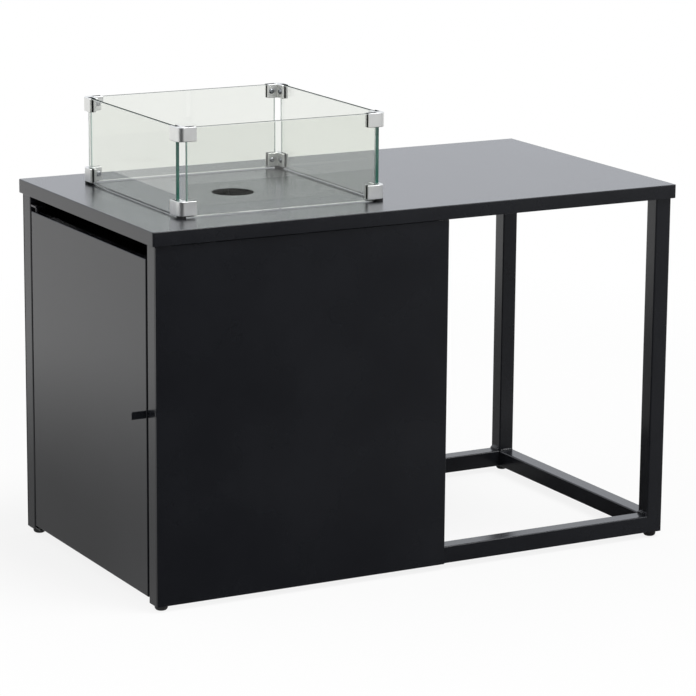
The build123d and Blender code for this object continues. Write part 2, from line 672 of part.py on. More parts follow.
def burner_tray():
    """The tray that hangs under the top: a flange that also carries the lid, four walls and a floor."""
    tray = square(BURNER_X, TRAY_FLANGE, FLANGE_UNDER, TOP_UNDER)
    tray += square(BURNER_X, TRAY_INSIDE + 2 * TRAY_SHEET, FLOOR_UNDER, FLANGE_UNDER)
    tray -= square(BURNER_X, TRAY_INSIDE, FLOOR_TOP, TOP_UNDER)
    for x, y in tray_stud_places():
        tray -= rod((x, y, FLANGE_UNDER), Z_AXIS, STUD_RADIUS + STUD_CLEARANCE, TRAY_SHEET)
    holes = [(BURNER_X, 0, HUB_RADIUS + HOLE_CLEARANCE)]
    for sx, sy in corner_signs():
        holes.append((BURNER_X + sx * DRAIN_SPACING / 2, sy * DRAIN_SPACING / 2, DRAIN_RADIUS))
    radii = (ELECTRODE_RADIUS + HOLE_CLEARANCE, THERMOCOUPLE_RADIUS + HOLE_CLEARANCE)
    for (x, y), radius in zip(probe_places(), radii):
        holes.append((x, y, radius))
    for x, y, radius in holes:
        tray -= rod((x, y, FLOOR_UNDER), Z_AXIS, radius, TRAY_SHEET)
    return tray


def burner_ring():
    """The ring burner with its spokes and its hub, which passes down through the tray's floor."""
    level = FLOOR_TOP + RING_LIFT
    # The torus's seam is turned clear of the spokes.
    ring = Pos(BURNER_X, 0, level) * Rot(0, 0, 45) * Torus(RING_RADIUS, RING_TUBE_RADIUS)
    ring += rod((BURNER_X - RING_RADIUS, 0, level), X_AXIS, SPOKE_RADIUS, 2 * RING_RADIUS)
    bottom = FLOOR_UNDER - HUB_TAIL
    ring += rod((BURNER_X, 0, bottom), Z_AXIS, HUB_RADIUS, level + HUB_RADIUS - bottom)
    ring += rod((BURNER_X, 0, FLOOR_TOP), Z_AXIS, HUB_COLLAR_RADIUS, HUB_COLLAR)
    start = level + RING_TUBE_RADIUS - PORT_DEPTH
    port = Cylinder(PORT_RADIUS, 2 * PORT_DEPTH, align=(Align.CENTER, Align.CENTER, Align.MIN))
    turn = 360 / PORT_COUNT
    places = [Rot(0, 0, (index + 0.5) * turn) * Pos(RING_RADIUS, 0, 0) for index in range(PORT_COUNT)]
    return ring - [Pos(BURNER_X, 0, start) * place * port for place in places]


def hub_nut():
    """The large nut that clamps the hub to the tray's floor."""
    start = (BURNER_X, 0, FLOOR_UNDER)
    bore = rod(start, MINUS_Z, HUB_RADIUS + RUNNING_CLEARANCE, HUB_NUT)
    return hexagon(start, MINUS_Z, HUB_NUT_FLATS, HUB_NUT) - bore


def air_mixer():
    """The air mixer below the hub, with cross holes for air and a narrow throat for the gas pipe."""
    mixer = rod((BURNER_X, 0, MIXER_BOTTOM), Z_AXIS, MIXER_RADIUS, MIXER_LENGTH)
    seat = FLOOR_UNDER - HUB_TAIL
    mixer -= rod((BURNER_X, 0, seat), Z_AXIS, HUB_RADIUS + RUNNING_CLEARANCE, MIXER_TOP - seat)
    throat = MIXER_BOTTOM + PIPE_NUT
    mixer -= rod((BURNER_X, 0, throat), Z_AXIS, MIXER_THROAT_RADIUS, seat - throat)
    level = (throat + seat) / 2
    across = 2 * MIXER_RADIUS
    mixer -= rod((BURNER_X - MIXER_RADIUS, 0, level), X_AXIS, AIR_HOLE_RADIUS, across)
    return mixer - rod((BURNER_X, -MIXER_RADIUS, level), Y_AXIS, AIR_HOLE_RADIUS, across)


def pipe_path():
    """The gas pipe's route: down from the mixer, across under the tray, and straight into the valve."""
    end_x = VALVE_X0 - VALVE_BOSS
    points = [
        (BURNER_X, 0, MIXER_BOTTOM),
        (BURNER_X, 0, VALVE_Z),
        (end_x - PIPE_LEAD, VALVE_Y, VALVE_Z),
        (end_x, VALVE_Y, VALVE_Z),
    ]
    return FilletPolyline(*points, radius=PIPE_BEND)


def gas_pipe():
    """The bent gas pipe from the valve to the mixer."""
    path = pipe_path()
    section = Circle(PIPE_RADIUS) - Circle(PIPE_RADIUS - PIPE_WALL)
    return sweep(Plane(origin=path @ 0, z_dir=path % 0) * section, path=path)


def pipe_nuts():
    """Compression nuts at both ends of the gas pipe."""
    mixer_end = ((BURNER_X, 0, MIXER_BOTTOM), MINUS_Z)
    valve_end = ((VALVE_X0 - VALVE_BOSS, VALVE_Y, VALVE_Z), MINUS_X)
    bore = PIPE_RADIUS + RUNNING_CLEARANCE
    nuts = []
    for start, away in (mixer_end, valve_end):
        nuts.append(hexagon(start, away, PIPE_NUT_FLATS, PIPE_NUT) - rod(start, away, bore, PIPE_NUT))
    return group(nuts)


def gas_valve():
    """The valve behind the side panel: flange, block, two bosses and the nose for the spindle."""
    centre = (SIDE_X0, VALVE_Y, VALVE_Z)
    half = VALVE_BLOCK / 2
    block_x1 = SIDE_X0 - VALVE_FLANGE
    body = block(VALVE_X0, block_x1, VALVE_Y - half, VALVE_Y + half, VALVE_Z - half, VALVE_Z + half)
    body += rod(centre, MINUS_X, VALVE_FLANGE_RADIUS, VALVE_FLANGE)
    body += rod(centre, X_AXIS, VALVE_NOSE_RADIUS, PLATE_X1 - SIDE_X0)
    body += rod((VALVE_X0, VALVE_Y, VALVE_Z), MINUS_X, VALVE_BOSS_RADIUS, VALVE_BOSS)
    inlet_x = (VALVE_X0 + block_x1) / 2
    body += rod((inlet_x, VALVE_Y, VALVE_Z - half), MINUS_Z, VALVE_BOSS_RADIUS, VALVE_BOSS)
    depth = PLATE_X1 - SIDE_X0 + SPINDLE_INSIDE + PLUNGER_LENGTH + KNOB_TRAVEL + SHEET_CLEARANCE
    bore = SPINDLE_RADIUS + RUNNING_CLEARANCE
    return body - rod((PLATE_X1, VALVE_Y, VALVE_Z), MINUS_X, bore, depth)


def gas_inlet():
    """The threaded nipple on the valve that takes the nut of a gas hose."""
    x = (VALVE_X0 + SIDE_X0 - VALVE_FLANGE) / 2
    start = (x, VALVE_Y, VALVE_Z - VALVE_BLOCK / 2 - VALVE_BOSS)
    nipple = hexagon(start, MINUS_Z, INLET_FLATS, INLET_HEX)
    nipple += rod(start, MINUS_Z, INLET_RADIUS, INLET_HEX + INLET_LENGTH)
    return nipple - rod(start, MINUS_Z, INLET_BORE_RADIUS, INLET_HEX + INLET_LENGTH)


# Controls
def control_plate():
    """The plate round the knob and the igniter, on the open bay's side of the side panel."""
    half_y = CONTROL_PLATE_WIDTH / 2
    z0 = VALVE_Z - CONTROL_PLATE_MARGIN
    z1 = IGNITER_Z + CONTROL_PLATE_MARGIN
    plate = block(SIDE_X1, PLATE_X1, VALVE_Y - half_y, VALVE_Y + half_y, z0, z1)
    plate = fillet(plate.edges().filter_by(Axis.X), CONTROL_PLATE_CORNER)
    holes = [(VALVE_Y, VALVE_Z, VALVE_NOSE_RADIUS + HOLE_CLEARANCE)]
    holes.append((VALVE_Y, IGNITER_Z, IGNITER_RADIUS + HOLE_CLEARANCE))
    holes += [(y, z, SMALL_SCREW_RADIUS + SCREW_CLEARANCE) for y, z in control_screw_places()]
    for y, z, radius in holes:
        plate -= rod((SIDE_X1, y, z), X_AXIS, radius, CONTROL_PLATE_SHEET)
    return plate


def control_screws():
    """Four small screws in the control plate."""
    sizes = (SMALL_SCREW_RADIUS, SMALL_SCREW_HEAD_RADIUS, SMALL_SCREW_HEAD, SCREW_LENGTH)
    return group([screw((PLATE_X1, y, z), X_AXIS, *sizes) for y, z in control_screw_places()])


def valve_plunger():
    """The plunger inside the valve that the spindle pushes to hold the gas open while lighting."""
    start = (SIDE_X0 - SPINDLE_INSIDE, VALVE_Y, VALVE_Z)
    return rod(start, MINUS_X, SPINDLE_RADIUS, PLUNGER_LENGTH)


def valve_spindle():
    """The spindle that carries the knob."""
    length = SPINDLE_INSIDE + PLATE_X1 - SIDE_X0 + KNOB_GAP + KNOB_BORE_DEPTH
    return rod((SIDE_X0 - SPINDLE_INSIDE, VALVE_Y, VALVE_Z), X_AXIS, SPINDLE_RADIUS, length)


def control_knob():
    """The round knob: a skirt, a narrower grip and a raised pointer, bored for the spindle."""
    start = (PLATE_X1 + KNOB_GAP, VALVE_Y, VALVE_Z)
    knob = rod(start, X_AXIS, KNOB_RADIUS, KNOB_SKIRT)
    grip_start = (start[0] + KNOB_SKIRT, VALVE_Y, VALVE_Z)
    grip = rod(grip_start, X_AXIS, KNOB_GRIP_RADIUS, KNOB_LENGTH - KNOB_SKIRT)
    grip = fillet(grip.edges().filter_by(GeomType.CIRCLE).sort_by(Axis.X)[-1], KNOB_EDGE_RADIUS)
    knob += grip
    face = start[0] + KNOB_LENGTH
    y0 = VALVE_Y - POINTER_WIDTH / 2
    tip = VALVE_Z + KNOB_GRIP_RADIUS - KNOB_EDGE_RADIUS
    knob += block(face - POINTER_HEIGHT, face + POINTER_HEIGHT, y0, y0 + POINTER_WIDTH, VALVE_Z, tip)
    return knob - rod(start, X_AXIS, SPINDLE_RADIUS + RUNNING_CLEARANCE, KNOB_BORE_DEPTH)


def igniter_body():
    """The spark igniter's barrel with its bezel outside the plate."""
    end_x = PLATE_X1 + BEZEL
    barrel = rod((PLATE_X1, VALVE_Y, IGNITER_Z), MINUS_X, IGNITER_RADIUS, IGNITER_LENGTH)
    barrel += rod((PLATE_X1, VALVE_Y, IGNITER_Z), X_AXIS, BEZEL_RADIUS, BEZEL)
    depth = BEZEL + BUTTON_INSIDE + BUTTON_TRAVEL + SHEET_CLEARANCE
    bore = BUTTON_RADIUS + RUNNING_CLEARANCE
    return barrel - rod((end_x, VALVE_Y, IGNITER_Z), MINUS_X, bore, depth)


def igniter_nut():
    """The nut that holds the igniter against the side panel from inside."""
    start = (SIDE_X0, VALVE_Y, IGNITER_Z)
    bore = rod(start, MINUS_X, IGNITER_RADIUS + RUNNING_CLEARANCE, IGNITER_NUT)
    return hexagon(start, MINUS_X, IGNITER_NUT_FLATS, IGNITER_NUT) - bore


def igniter_button():
    """The igniter's push button."""
    start = (PLATE_X1 - BUTTON_INSIDE, VALVE_Y, IGNITER_Z)
    button = rod(start, X_AXIS, BUTTON_RADIUS, BUTTON_INSIDE + BEZEL + BUTTON_PROUD)
    return fillet(button.edges().filter_by(GeomType.CIRCLE).sort_by(Axis.X)[-1], BUTTON_EDGE_RADIUS)


def probe(place, radius, tip_radius, tip):
    """A probe that stands through the tray's floor on its own small flange."""
    x, y = place
    length = PROBE_TAIL + TRAY_SHEET + PROBE_TOP
    body = rod((x, y, FLOOR_UNDER - PROBE_TAIL), Z_AXIS, radius, length)
    body += rod((x, y, FLOOR_TOP), Z_AXIS, PROBE_FLANGE_RADIUS, PROBE_FLANGE)
    return body + rod((x, y, FLOOR_TOP + PROBE_TOP), Z_AXIS, tip_radius, tip)


def spark_electrode():
    """The ceramic spark electrode with its wire tip."""
    return probe(probe_places()[0], ELECTRODE_RADIUS, ELECTRODE_TIP_RADIUS, ELECTRODE_TIP)


def thermocouple():
    """The thermocouple, which keeps the valve open while it is hot."""
    return probe(probe_places()[1], THERMOCOUPLE_RADIUS, THERMOCOUPLE_RADIUS / 2, ELECTRODE_TIP)


# Glass guard
def guard_turns():
    """The four quarter turns about the burner's centre line."""
    return [Pos(BURNER_X, 0, 0) * Rot(0, 0, 90 * index) for index in range(4)]


def glass_panes():
    """Four panes with seamed edges that stop short of the corners, named by the side they stand on."""
    z0 = TABLE_HEIGHT + GLASS_LIFT
    z1 = TABLE_HEIGHT + GUARD_HEIGHT - GLASS_DROP
    pane = block(-GLASS_END, GLASS_END, -GLASS_OUT, -GLASS_IN, z0, z1)
    pane = chamfer(pane.edges(), GLASS_ARRIS)
    sides = ("front", "right", "rear", "left")
    return {f"glass_{side}": turn * pane for side, turn in zip(sides, guard_turns())}


def clamp_slots(end, side_clearance, z0, z1):
    """The two slots of a clamp at the +X +Y corner, one for each pane."""
    low = GLASS_IN - side_clearance
    high = GLASS_OUT + side_clearance
    start = CLAMP_END
    return block(start, end, low, high, z0, z1), block(low, high, start, end, z0, z1)


def corner_clamp(z0):
    """A cast corner clamp: two slotted legs and a rounded outer corner, bored for its two screws."""
    z1 = z0 + CLAMP_HEIGHT
    leg = block(CLAMP_END, CLAMP_OUT, CLAMP_IN, CLAMP_OUT, z0, z1)
    leg += block(CLAMP_IN, CLAMP_OUT, CLAMP_END, CLAMP_OUT, z0, z1)
    corner = leg.edges().filter_by(Axis.Z).sort_by(lambda edge: along_value(edge, (1, 1, 0)))[-1]
    leg = fillet(corner, CLAMP_CORNER_RADIUS)
    levels = leg.faces().sort_by(Axis.Z)
    leg = fillet(levels[0].edges() + levels[-1].edges(), CLAMP_EDGE_RADIUS)
    leg -= list(clamp_slots(GLASS_END + GASKET, GASKET, z0, z1))
    hole = SCREW_RADIUS + SCREW_CLEARANCE
    for place, direction in clamp_screw_places(z0):
        leg -= rod(place, tuple(-part for part in direction), hole, CLAMP_INNER_WALL)
    return leg


def clamp_screw_places(z0):
    """Seats and outward directions of the two screws on a clamp's inner faces."""
    along = CLAMP_IN - CLAMP_SCREW_FROM_CORNER
    z = z0 + CLAMP_HEIGHT / 2
    return [((along, CLAMP_IN, z), MINUS_Y), ((CLAMP_IN, along, z), MINUS_X)]


def clamp_gasket_pair(z0):
    """Rubber liners that wrap the two pane ends inside a clamp."""
    z1 = z0 + CLAMP_HEIGHT
    liners = clamp_slots(GLASS_END + GASKET, GASKET, z0, z1)
    glass = clamp_slots(GLASS_END, 0, z0, z1)
    return [liner - pane for liner, pane in zip(liners, glass)]


def clamp_levels():
    """The lower faces of the bottom and the top clamps."""
    return CLAMP_BOTTOM, CLAMP_UPPER


def corner_clamps():
    """All eight clamps, four at the bottom and four at the top."""
    return group([turn * corner_clamp(z0) for z0 in clamp_levels() for turn in guard_turns()])


def clamp_gaskets():
    """All sixteen rubber liners."""
    liners = [liner for z0 in clamp_levels() for liner in clamp_gasket_pair(z0)]
    return group([turn * liner for liner in liners for turn in guard_turns()])


def clamp_screws():
    """All sixteen clamp screws, their tips against the rubber liners."""
    sizes = (SCREW_RADIUS, SCREW_HEAD_RADIUS, SCREW_HEAD, CLAMP_INNER_WALL)
    made = [screw(*place, *sizes) for z0 in clamp_levels() for place in clamp_screw_places(z0)]
    return group([turn * one for one in made for turn in guard_turns()])


def guard_pads():
    """Rubber pads under the corners of the bottom clamps."""
    place = CLAMP_OUT - PAD_SETBACK - PAD_RADIUS
    pad = rod((place, place, TABLE_HEIGHT), Z_AXIS, PAD_RADIUS, PAD_THICKNESS)
    return group([turn * pad for turn in guard_turns()])


def assembly():
    """Every node of the table by name."""
    nodes = {}
    nodes.update(posts())
    nodes.update(rails())
    nodes.update(feet())
    nodes.update(glass_panes())
    nodes["front_panel"] = wall_panel(-1)
    nodes["rear_panel"] = wall_panel(1)
    makers = [
        foot_sockets, table_top, weld_studs, flange_nuts, side_panel, shelf, panel_screws,
        door, door_pull, pivot_pins, hinge_brackets, magnet_catch,
        burner_lid, lid_stiffeners, burner_tray, burner_ring, hub_nut, air_mixer,
        gas_pipe, pipe_nuts, gas_valve, gas_inlet,
        control_plate, control_screws, valve_plunger, valve_spindle, control_knob,
        igniter_body, igniter_nut, igniter_button, spark_electrode, thermocouple,
        corner_clamps, clamp_gaskets, clamp_screws, guard_pads,
    ]
    for maker in makers:
        nodes[maker.__name__] = maker()
    return nodes


os.makedirs("parts", exist_ok=True)
for node, shape in assembly().items():
    export_step(shape, f"parts/{node}.step")
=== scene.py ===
import json
import math

import bmesh
import bpy
from mathutils import Matrix, Vector


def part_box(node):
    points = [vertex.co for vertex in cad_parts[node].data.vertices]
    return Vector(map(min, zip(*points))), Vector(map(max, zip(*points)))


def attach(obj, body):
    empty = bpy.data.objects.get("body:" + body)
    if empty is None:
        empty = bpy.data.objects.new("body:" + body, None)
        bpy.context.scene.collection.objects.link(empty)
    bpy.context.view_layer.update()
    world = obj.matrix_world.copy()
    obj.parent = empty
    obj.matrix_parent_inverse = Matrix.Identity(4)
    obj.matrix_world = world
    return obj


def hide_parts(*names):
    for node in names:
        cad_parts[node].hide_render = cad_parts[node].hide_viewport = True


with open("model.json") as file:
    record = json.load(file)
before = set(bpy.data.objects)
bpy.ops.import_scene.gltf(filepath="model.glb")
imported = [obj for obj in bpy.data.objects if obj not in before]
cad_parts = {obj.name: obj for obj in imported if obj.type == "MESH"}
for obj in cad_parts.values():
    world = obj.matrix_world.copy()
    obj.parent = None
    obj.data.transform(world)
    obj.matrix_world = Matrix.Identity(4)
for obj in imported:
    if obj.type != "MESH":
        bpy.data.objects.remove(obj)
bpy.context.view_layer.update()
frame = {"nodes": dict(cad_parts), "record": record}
nodes = frame["nodes"]
MM = 0.001
X_AXIS = Vector((1.0, 0.0, 0.0))
Z_AXIS = Vector((0.0, 0.0, 1.0))

# Shader building blocks

# Most values of a noise lie between these two.
NOISE_LOW = 0.3
NOISE_HIGH = 0.7


def empty_material(name):
    """A material with only an output node; returns it with its node tree and that node."""
    mat = bpy.data.materials.new(name)
    mat.use_nodes = True
    tree = mat.node_tree
    tree.nodes.clear()
    return mat, tree, tree.nodes.new("ShaderNodeOutputMaterial")


def new_material(name):
    """A material with one Principled node; returns it with its node tree and that node."""
    mat, tree, out = empty_material(name)
    shader = tree.nodes.new("ShaderNodeBsdfPrincipled")
    tree.links.new(shader.outputs["BSDF"], out.inputs["Surface"])
    return mat, tree, shader


def place_coords(tree, stretch=(1.0, 1.0, 1.0), origin=(0.0, 0.0, 0.0)):
    """Coordinates in metres in the table's own frame, from an origin, stretched along each axis."""
    coords = tree.nodes.new("ShaderNodeTexCoord")
    mapping = tree.nodes.new("ShaderNodeMapping")
    mapping.vector_type = "TEXTURE"
    mapping.inputs["Location"].default_value = origin
    mapping.inputs["Scale"].default_value = tuple(1.0 / part for part in stretch)
    tree.links.new(coords.outputs["Object"], mapping.inputs["Vector"])
    return mapping.outputs["Vector"]


def split_axes(tree, vector):
    """The X, Y and Z values of a vector."""
    node = tree.nodes.new("ShaderNodeSeparateXYZ")
    tree.links.new(vector, node.inputs["Vector"])
    return [node.outputs[axis] for axis in "XYZ"]


def join_axes(tree, values):
    """A vector of three values."""
    node = tree.nodes.new("ShaderNodeCombineXYZ")
    for socket, value in zip(node.inputs, values):
        tree.links.new(value, socket)
    return node.outputs["Vector"]


def vector_length(tree, vector):
    """The length of a vector."""
    node = tree.nodes.new("ShaderNodeVectorMath")
    node.operation = "LENGTH"
    tree.links.new(vector, node.inputs[0])
    return node.outputs["Value"]


def noise(tree, coords, scale, detail=3.0, roughness=0.5):
    """A noise value over the surface, scale in waves per metre."""
    node = tree.nodes.new("ShaderNodeTexNoise")
    node.inputs["Scale"].default_value = scale
    node.inputs["Detail"].default_value = detail
    node.inputs["Roughness"].default_value = roughness
    tree.links.new(coords, node.inputs["Vector"])
    return node.outputs["Fac"]


def ramp(tree, value, stops):
    """A colour ramp over a value; stops are (position, colour)."""
    node = tree.nodes.new("ShaderNodeValToRGB")
    points = node.color_ramp.elements
    while len(points) < len(stops):
        points.new(0.5)
    for point, (position, colour) in zip(points, stops):
        point.position = position
        point.color = (*colour, 1.0)
    tree.links.new(value, node.inputs["Fac"])
    return node.outputs["Color"]


def between(tree, value, low, high, low_in=NOISE_LOW, high_in=NOISE_HIGH):
    """A value mapped from a span, a noise's unless given, to low and high."""
    node = tree.nodes.new("ShaderNodeMapRange")
    node.inputs["From Min"].default_value = low_in
    node.inputs["From Max"].default_value = high_in
    node.inputs["To Min"].default_value = low
    node.inputs["To Max"].default_value = high
    tree.links.new(value, node.inputs["Value"])
    return node.outputs["Result"]


def math_node(tree, operation, first, second=0.0):
    """A math node over two values, each a socket or a number."""
    node = tree.nodes.new("ShaderNodeMath")
    node.operation = operation
    for socket, value in zip(node.inputs, (first, second)):
        if isinstance(value, (int, float)):
            socket.default_value = value
        else:
            tree.links.new(value, socket)
    return node.outputs["Value"]


def mix_colours(tree, share, first, second):
    """The first colour turning to the second by a share; each colour is a socket or four numbers."""
    node = tree.nodes.new("ShaderNodeMix")
    node.data_type = "RGBA"
    tree.links.new(share, node.inputs["Factor"])
    colours = [socket for socket in node.inputs if socket.type == "RGBA"]
    for socket, value in zip(colours, (first, second)):
        if isinstance(value, tuple):
            socket.default_value = value
        else:
            tree.links.new(value, socket)
    return next(socket for socket in node.outputs if socket.type == "RGBA")


def bump(tree, shader, height, strength, distance):
    """Fine relief on a shader."""
    node = tree.nodes.new("ShaderNodeBump")
    node.inputs["Strength"].default_value = strength
    node.inputs["Distance"].default_value = distance
    tree.links.new(height, node.inputs["Height"])
    tree.links.new(node.outputs["Normal"], shader.inputs["Normal"])


# Finishes
PAINT_DARK = (0.0106, 0.0114, 0.0142)
PAINT_LIGHT = (0.0132, 0.0142, 0.0174)
PAINT_CLOUD_LOW = 0.35
PAINT_CLOUD_HIGH = 0.65
PAINT_CLOUDS = 7.0
PAINT_GRAIN = 420.0
PEEL_WAVES = 900.0
PEEL_HEIGHT = 0.08 * MM
CLEAR_COAT_ROUGH = 0.27


def coat_paint(name, rough, ior, peel, clear=0.0):
    """Black powder coat: slow cloudy colour, fine orange peel, a broken sheen and a share of clear coat."""
    mat, tree, shader = new_material(name)
    coords = place_coords(tree)
    cloud = noise(tree, coords, PAINT_CLOUDS, detail=4.0, roughness=0.55)
    grain = noise(tree, coords, PAINT_GRAIN, detail=2.0)
    colour = ramp(tree, cloud, [(PAINT_CLOUD_LOW, PAINT_DARK), (PAINT_CLOUD_HIGH, PAINT_LIGHT)])
    tree.links.new(colour, shader.inputs["Base Color"])
    tree.links.new(between(tree, grain, *rough), shader.inputs["Roughness"])
    bump(tree, shader, noise(tree, coords, PEEL_WAVES, detail=2.0), peel, PEEL_HEIGHT)
    shader.inputs["IOR"].default_value = ior
    shader.inputs["Coat Weight"].default_value = clear
    shader.inputs["Coat Roughness"].default_value = CLEAR_COAT_ROUGH
    return mat


METAL_CLOUDS = 30.0
METAL_RELIEF = 0.12
METAL_RELIEF_HEIGHT = 0.05 * MM


def plain_metal(name, dark, light, rough, lines, stretch=(1.0, 1.0, 1.0)):
    """Bare metal with cloudy colour and fine lines, drawn out along the axis that isn't stretched."""
    mat, tree, shader = new_material(name)
    streak = noise(tree, place_coords(tree, stretch), lines, detail=4.0, roughness=0.6)
    cloud = noise(tree, place_coords(tree), METAL_CLOUDS)
    colour = ramp(tree, cloud, [(NOISE_LOW, dark), (NOISE_HIGH, light)])
    tree.links.new(colour, shader.inputs["Base Color"])
    tree.links.new(between(tree, streak, *rough), shader.inputs["Roughness"])
    bump(tree, shader, streak, METAL_RELIEF, METAL_RELIEF_HEIGHT)
    shader.inputs["Metallic"].default_value = 1.0
    return mat


MOULD_CLOUDS = 45.0
MOULD_RELIEF_HEIGHT = 0.1 * MM


def moulded(name, dark, light, rough, grains, relief):
    """Moulded plastic, rubber or ceramic, or printed paint, with a fine grain."""
    mat, tree, shader = new_material(name)
    coords = place_coords(tree)
    grain = noise(tree, coords, grains)
    cloud = noise(tree, coords, MOULD_CLOUDS)
    colour = ramp(tree, cloud, [(NOISE_LOW, dark), (NOISE_HIGH, light)])
    tree.links.new(colour, shader.inputs["Base Color"])
    tree.links.new(between(tree, grain, *rough), shader.inputs["Roughness"])
    bump(tree, shader, grain, relief, MOULD_RELIEF_HEIGHT)
    return mat


SMEARS = 9.0
SMEAR_STRETCH = (1.0, 1.0, 0.4)
GLASS_IOR = 1.5


def glazing(name, dark, light, rough, clear, gloss=0.5):
    """A finish of the panes, from clear glass to ground seams, with faint smears."""
    mat, tree, shader = new_material(name)
    smear = noise(tree, place_coords(tree, SMEAR_STRETCH), SMEARS, detail=4.0, roughness=0.6)
    colour = ramp(tree, smear, [(NOISE_LOW, dark), (NOISE_HIGH, light)])
    tree.links.new(colour, shader.inputs["Base Color"])
    tree.links.new(between(tree, smear, *rough), shader.inputs["Roughness"])
    shader.inputs["Transmission Weight"].default_value = clear
    shader.inputs["Specular IOR Level"].default_value = gloss
    shader.inputs["IOR"].default_value = GLASS_IOR
    return mat


RING_TUBE = 8.0 * MM
ring_low, ring_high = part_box("burner_ring")
RING_RADIUS = (ring_high.x - ring_low.x) / 2 - RING_TUBE
RING_CENTRE = ((ring_low.x + ring_high.x) / 2, (ring_low.y + ring_high.y) / 2, ring_high.z - RING_TUBE)
PORT_COUNT = 30
PORT_RADIUS = 1.4 * MM
PORT_EDGE = 0.8
# Painted shade: the near-black colour that stands in for the dark inside of each gas port.
PORT_PAINTED_SHADE = (0.006, 0.006, 0.006, 1.0)
BARE_STEEL = (0.46, 0.44, 0.42)
STRAW_TINT = (0.52, 0.42, 0.27)
VIOLET_TINT = (0.40, 0.36, 0.42)
TINT_CLOUDS = 14.0
RING_GRAIN = 300.0
RING_ROUGH = (0.26, 0.42)
RING_RELIEF = 0.10


def port_shade_mask(tree):
    """Painted shade for gas ports that are not modelled: 1 inside a row of round ports along the inner
    shoulder of the burner's tube, and 0 elsewhere.
    """
    x, y, z = split_axes(tree, place_coords(tree, origin=RING_CENTRE))
    angle = math_node(tree, "ARCTAN2", y, x)
    turn = math_node(tree, "FRACT", math_node(tree, "MULTIPLY", angle, PORT_COUNT / math.tau))
    spacing = math.tau * RING_RADIUS / PORT_COUNT
    along = math_node(tree, "MULTIPLY", math_node(tree, "SUBTRACT", turn, 0.5), spacing)
    squares = math_node(tree, "ADD", math_node(tree, "MULTIPLY", x, x), math_node(tree, "MULTIPLY", y, y))
    shoulder = RING_TUBE * math.sqrt(0.5)
    inward = math_node(tree, "SUBTRACT", math_node(tree, "SQRT", squares), RING_RADIUS - shoulder)
    upward = math_node(tree, "SUBTRACT", z, shoulder)
    reach = vector_length(tree, join_axes(tree, (along, inward, upward)))
    return between(tree, reach, 1.0, 0.0, PORT_EDGE * PORT_RADIUS, PORT_RADIUS)


def ring_steel():
    """Stainless burner tube with straw heat tint, and painted shade as dark spots for its gas ports."""
    mat, tree, shader = new_material("ring_steel")
    tint = noise(tree, place_coords(tree), TINT_CLOUDS)
    steel = ramp(tree, tint, [(0.35, BARE_STEEL), (0.55, STRAW_TINT), (0.70, VIOLET_TINT)])
    # The painted shade of the gas ports goes over the tinted steel.
    tree.links.new(mix_colours(tree, port_shade_mask(tree), steel, PORT_PAINTED_SHADE), shader.inputs["Base Color"])
    grain = noise(tree, place_coords(tree), RING_GRAIN, detail=4.0)
    tree.links.new(between(tree, grain, *RING_ROUGH), shader.inputs["Roughness"])
    bump(tree, shader, grain, RING_RELIEF, METAL_RELIEF_HEIGHT)
    shader.inputs["Metallic"].default_value = 1.0
    return mat


paint = coat_paint("black_paint", rough=(0.16, 0.24), ior=1.48, peel=0.10)
top_paint = coat_paint("top_paint", rough=(0.22, 0.28), ior=1.62, peel=0.02, clear=0.30)
zinc = plain_metal(
    "zinc_steel", (0.50, 0.51, 0.53), (0.66, 0.66, 0.66), rough=(0.25, 0.42), lines=260.0)
stainless = plain_metal(
    "stainless_steel", (0.48, 0.47, 0.46), (0.58, 0.57, 0.56), rough=(0.24, 0.40), lines=40.0,
    stretch=(1.0, 30.0, 30.0))
screw_steel = plain_metal(
    "screw_steel", (0.22, 0.23, 0.24), (0.32, 0.33, 0.34), rough=(0.24, 0.38), lines=300.0)
clamp_metal = plain_metal(
    "clamp_metal", (0.72, 0.72, 0.705), (0.80, 0.80, 0.77), rough=(0.34, 0.44), lines=500.0)
brass = plain_metal(
    "brass", (0.62, 0.43, 0.17), (0.76, 0.56, 0.27), rough=(0.22, 0.38), lines=240.0)
pipe_metal = plain_metal(
    "pipe_aluminium", (0.62, 0.62, 0.64), (0.75, 0.75, 0.76), rough=(0.26, 0.40), lines=180.0)
rubber = moulded(
    "black_rubber", (0.010, 0.010, 0.010), (0.018, 0.018, 0.018),
    rough=(0.62, 0.80), grains=1400.0, relief=0.25)
plastic = moulded(
    "black_plastic", (0.011, 0.011, 0.012), (0.018, 0.018, 0.019),
    rough=(0.38, 0.52), grains=1100.0, relief=0.20)
button_plastic = moulded(
    "button_plastic", (0.030, 0.030, 0.033), (0.042, 0.042, 0.046),
    rough=(0.16, 0.24), grains=900.0, relief=0.06)
mark_paint = moulded(
    "mark_paint", (0.66, 0.66, 0.64), (0.74, 0.74, 0.72),
    rough=(0.40, 0.52), grains=1500.0, relief=0.10)
ceramic = moulded(
    "ceramic", (0.74, 0.71, 0.66), (0.84, 0.82, 0.78),
    rough=(0.28, 0.40), grains=700.0, relief=0.08)
glass = glazing(
    "pane_glass", (0.842, 0.860, 0.826), (0.857, 0.872, 0.838), rough=(0.0, 0.012), clear=1.0)
glass_end = glazing(
    "pane_end", (0.080, 0.340, 0.255), (0.110, 0.410, 0.310), rough=(0.06, 0.12), clear=0.60)
# Upper face of each pane's edge: a painted dark reflection, near-black and without gloss.
glass_top_painted_reflection = glazing(
    "pane_top_painted_reflection", (0.014, 0.030, 0.024), (0.022, 0.042, 0.034), rough=(0.35, 0.50), clear=0.0, gloss=0.0)
# Ends that don't face the front: a painted highlight, pale greenish white in place of the glass's green.
glass_end_painted_highlight = glazing(
    "pane_end_painted_highlight", (0.60, 0.70, 0.66), (0.70, 0.78, 0.74), rough=(0.10, 0.18), clear=0.50)
glass_seam = glazing(
    "pane_seam", (0.80, 0.84, 0.81), (0.88, 0.91, 0.88), rough=(0.40, 0.55), clear=0.30)

